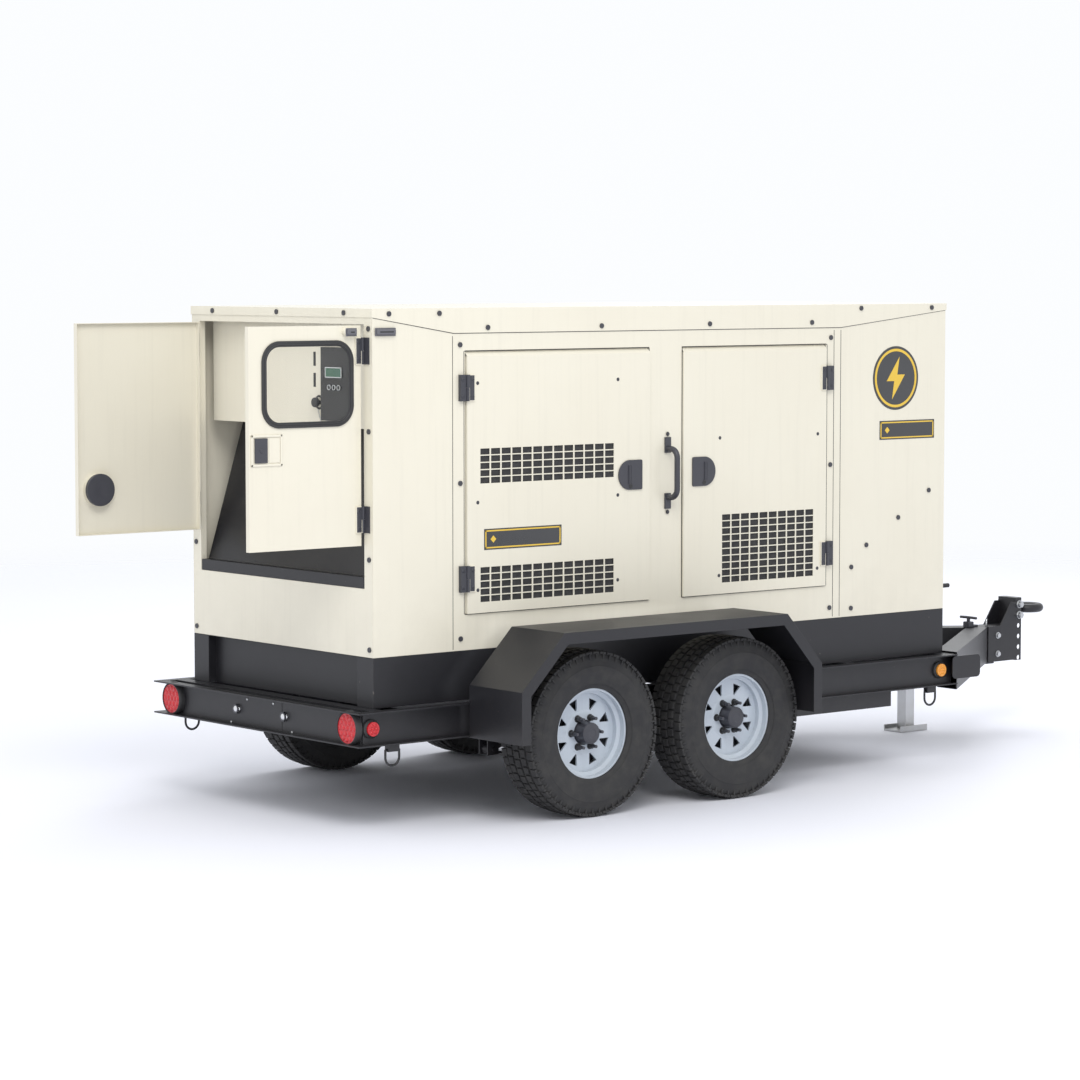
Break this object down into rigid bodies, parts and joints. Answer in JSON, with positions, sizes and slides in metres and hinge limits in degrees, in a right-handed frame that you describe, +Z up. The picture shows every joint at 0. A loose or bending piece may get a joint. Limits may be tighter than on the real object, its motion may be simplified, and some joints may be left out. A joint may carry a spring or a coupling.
{
  "type": "towable diesel generator",
  "caption": "Trailer-mounted diesel generator in a sheet-metal sound enclosure with service doors, tandem axles, A-frame drawbar, tow eye and screw jack.",
  "frame": {"origin": "on the ground, in the middle of the overall length (open rear door's edge to tow eye) and width", "axes": "+X in the tow direction, +Y to the left side, +Z up"},
  "size_m": [5.455, 2.256, 2.179],
  "materials": {
    "panel_cream": "semi-gloss powder coat",
    "frame_black": "satin powder coat",
    "rim_paint": "gloss enamel",
    "tyre_rubber": "matt rubber",
    "zinc_plate": "bright zinc",
    "black_hardware": "moulded nylon and e-coated steel",
    "gasket_rubber": "matt",
    "clear_pane": "clear",
    "red_lens": "clear-coated lens",
    "amber_lens": "clear-coated lens",
    "black_plastic": "moulded",
    "engine_iron": "painted castings",
    "radiator_core": "finned"
  },
  "bodies": {
    "chassis": {"alternator": "engine_iron", "amber_lamps": "amber_lens", "base_tank": "frame_black", "cable_baffle": "frame_black", "control_box": "panel_cream", "control_module": "black_plastic", "coupler_bolts": "zinc_plate", "coupler_channel": "frame_black", "drawbar": "frame_black", "engine": "engine_iron", "fenders": "frame_black", "front_panel": "panel_cream", "grab_handles": "black_hardware", "hinge_leaves": "black_hardware", "jack_sleeve": "frame_black", "panel_screws": "black_hardware", "radiator": "radiator_core", "rear_frame": "panel_cream", "red_lamps": "red_lens", "roof_cap": "panel_cream", "side_frame_left": "panel_cream", "side_frame_right": "panel_cream", "spring_hangers": "frame_black", "tow_eye": "frame_black", "trailer_frame": "frame_black"},
    "front_axle": {"front_axle": "frame_black", "front_springs": "frame_black"},
    "front_right_wheel": {"tyre_front_right": "tyre_rubber", "rim_front_right": "rim_paint"},
    "front_right_side_door": {"side_door_front_right": "panel_cream"},
    "front_right_latch": {"latch_front_right": "black_hardware"},
    "front_right_tie_ring": {"tie_ring_front_right": "frame_black"},
    "front_left_wheel": {"tyre_front_left": "tyre_rubber", "rim_front_left": "rim_paint"},
    "front_left_side_door": {"side_door_front_left": "panel_cream"},
    "front_left_latch": {"latch_front_left": "black_hardware"},
    "front_left_tie_ring": {"tie_ring_front_left": "frame_black"},
    "rear_axle": {"rear_axle": "frame_black", "rear_springs": "frame_black"},
    "rear_right_wheel": {"tyre_rear_right": "tyre_rubber", "rim_rear_right": "rim_paint"},
    "rear_right_side_door": {"side_door_rear_right": "panel_cream"},
    "rear_right_latch": {"latch_rear_right": "black_hardware"},
    "rear_right_tie_ring": {"tie_ring_rear_right": "frame_black"},
    "rear_left_wheel": {"tyre_rear_left": "tyre_rubber", "rim_rear_left": "rim_paint"},
    "rear_left_side_door": {"side_door_rear_left": "panel_cream"},
    "rear_left_latch": {"latch_rear_left": "black_hardware"},
    "rear_left_tie_ring": {"tie_ring_rear_left": "frame_black"},
    "equalizers": {"equalizers": "frame_black"},
    "right_rear_door": {"rear_door_right": "panel_cream", "window_gasket": "gasket_rubber", "window_pane": "clear_pane"},
    "left_rear_door": {"rear_door_left": "panel_cream"},
    "right_rear_door_latch": {"latch_paddle": "black_hardware"},
    "left_rear_door_latch": {"latch_rear_door": "black_hardware"},
    "jack_leg": {"jack_leg": "zinc_plate"},
    "jack_crank": {"jack_crank": "frame_black"},
    "engine_fan": {"engine_fan": "black_plastic"},
    "emergency_stop": {"emergency_stop": "black_plastic"}
  },
  "joints": [
    {"name": "front_axle_swing", "type": "hinge", "parent": "chassis", "child": "front_axle", "pos_m": [0.0025, 0, 0.29], "axis": [0, 1, 0], "range_deg": [-1.5, 1.5]},
    {"name": "rear_axle_swing", "type": "hinge", "parent": "chassis", "child": "rear_axle", "pos_m": [-1.4775, 0, 0.29], "axis": [0, 1, 0], "range_deg": [-1.6, 1.6]},
    {"name": "equalizer_rock", "type": "hinge", "parent": "chassis", "child": "equalizers", "pos_m": [-0.7375, 0, 0.335], "axis": [0, 1, 0], "range_deg": [-11.2, 11.2]},
    {"name": "front_right_wheel_spin", "type": "hinge", "parent": "front_axle", "child": "front_right_wheel", "pos_m": [-0.3175, -0.9145, 0.3595], "axis": [0, 1, 0], "continuous": true},
    {"name": "front_left_wheel_spin", "type": "hinge", "parent": "front_axle", "child": "front_left_wheel", "pos_m": [-0.3175, 0.9145, 0.3595], "axis": [0, 1, 0], "continuous": true},
    {"name": "rear_right_wheel_spin", "type": "hinge", "parent": "rear_axle", "child": "rear_right_wheel", "pos_m": [-1.1575, -0.9145, 0.3595], "axis": [0, 1, 0], "continuous": true},
    {"name": "rear_left_wheel_spin", "type": "hinge", "parent": "rear_axle", "child": "rear_left_wheel", "pos_m": [-1.1575, 0.9145, 0.3595], "axis": [0, 1, 0], "continuous": true},
    {"name": "rear_right_side_door_hinge", "type": "hinge", "parent": "chassis", "child": "rear_right_side_door", "pos_m": [-1.5855, -0.688, 1.435], "axis": [0, 0, -1], "range_deg": [0, 150]},
    {"name": "rear_right_latch_lift", "type": "hinge", "parent": "rear_right_side_door", "child": "rear_right_latch", "pos_m": [-0.6015, -0.6805, 1.436], "axis": [0, 0, 1], "range_deg": [0, 40]},
    {"name": "rear_left_side_door_hinge", "type": "hinge", "parent": "chassis", "child": "rear_left_side_door", "pos_m": [-1.5855, 0.688, 1.435], "axis": [0, 0, 1], "range_deg": [0, 150]},
    {"name": "rear_left_latch_lift", "type": "hinge", "parent": "rear_left_side_door", "child": "rear_left_latch", "pos_m": [-0.6015, 0.6805, 1.436], "axis": [0, 0, -1], "range_deg": [0, 40]},
    {"name": "front_right_side_door_hinge", "type": "hinge", "parent": "chassis", "child": "front_right_side_door", "pos_m": [0.5355, -0.688, 1.435], "axis": [0, 0, 1], "range_deg": [0, 150]},
    {"name": "front_right_latch_lift", "type": "hinge", "parent": "front_right_side_door", "child": "front_right_latch", "pos_m": [-0.3025, -0.6805, 1.436], "axis": [0, 0, -1], "range_deg": [0, 40]},
    {"name": "front_left_side_door_hinge", "type": "hinge", "parent": "chassis", "child": "front_left_side_door", "pos_m": [0.5355, 0.688, 1.435], "axis": [0, 0, -1], "range_deg": [0, 150]},
    {"name": "front_left_latch_lift", "type": "hinge", "parent": "front_left_side_door", "child": "front_left_latch", "pos_m": [-0.3025, 0.6805, 1.436], "axis": [0, 0, 1], "range_deg": [0, 40]},
    {"name": "right_rear_door_hinge", "type": "hinge", "parent": "chassis", "child": "right_rear_door", "pos_m": [-2.0855, -0.613, 1.65], "axis": [0, 0, -1], "range_deg": [-65, 90]},
    {"name": "left_rear_door_hinge", "type": "hinge", "parent": "chassis", "child": "left_rear_door", "pos_m": [-2.0855, 0.613, 1.65], "axis": [0, 0, 1], "range_deg": [-65, 90]},
    {"name": "right_rear_door_latch_lift", "type": "hinge", "parent": "right_rear_door", "child": "right_rear_door_latch", "pos_m": [-2.6335, -0.6115, 1.6035], "axis": [0, 0, -1], "range_deg": [0, 35]},
    {"name": "left_rear_door_latch_lift", "type": "hinge", "parent": "left_rear_door", "child": "left_rear_door_latch", "pos_m": [-2.6925, 0.6115, 1.386], "axis": [0, 0, 1], "range_deg": [0, 40]},
    {"name": "jack_leg_slide", "type": "slide", "parent": "chassis", "child": "jack_leg", "axis": [0, 0, 1], "range_m": [-0.08, 0.23]},
    {"name": "jack_crank_turn", "type": "hinge", "parent": "chassis", "child": "jack_crank", "pos_m": [1.9385, 0.142, 0.74], "axis": [1, 0, 0], "continuous": true},
    {"name": "engine_fan_spin", "type": "hinge", "parent": "chassis", "child": "engine_fan", "pos_m": [0.2625, 0, 1.06], "axis": [1, 0, 0], "continuous": true},
    {"name": "emergency_stop_press", "type": "slide", "parent": "chassis", "child": "emergency_stop", "axis": [1, 0, 0], "range_m": [0, 0.006], "stiffness_N_per_m": 900, "springref_m": -0.004},
    {"name": "rear_right_tie_ring_swing", "type": "hinge", "parent": "chassis", "child": "rear_right_tie_ring", "pos_m": [-2.0395, -0.748, 0.342], "axis": [1, 0, 0], "range_deg": [-75, 75]},
    {"name": "rear_left_tie_ring_swing", "type": "hinge", "parent": "chassis", "child": "rear_left_tie_ring", "pos_m": [-2.0395, 0.748, 0.342], "axis": [1, 0, 0], "range_deg": [-75, 75]},
    {"name": "front_right_tie_ring_swing", "type": "hinge", "parent": "chassis", "child": "front_right_tie_ring", "pos_m": [1.1605, -0.748, 0.342], "axis": [1, 0, 0], "range_deg": [-75, 75]},
    {"name": "front_left_tie_ring_swing", "type": "hinge", "parent": "chassis", "child": "front_left_tie_ring", "pos_m": [1.1605, 0.748, 0.342], "axis": [1, 0, 0], "range_deg": [-75, 75]}
  ],
  "couplings": [
    {"joint": "equalizer_rock", "follows": "front_axle_swing", "ratio": -7.2222},
    {"joint": "rear_axle_swing", "follows": "front_axle_swing", "ratio": 1},
    {"joint": "jack_crank_turn", "follows": "jack_leg_slide", "rad_per_m": 1047.2}
  ]
}
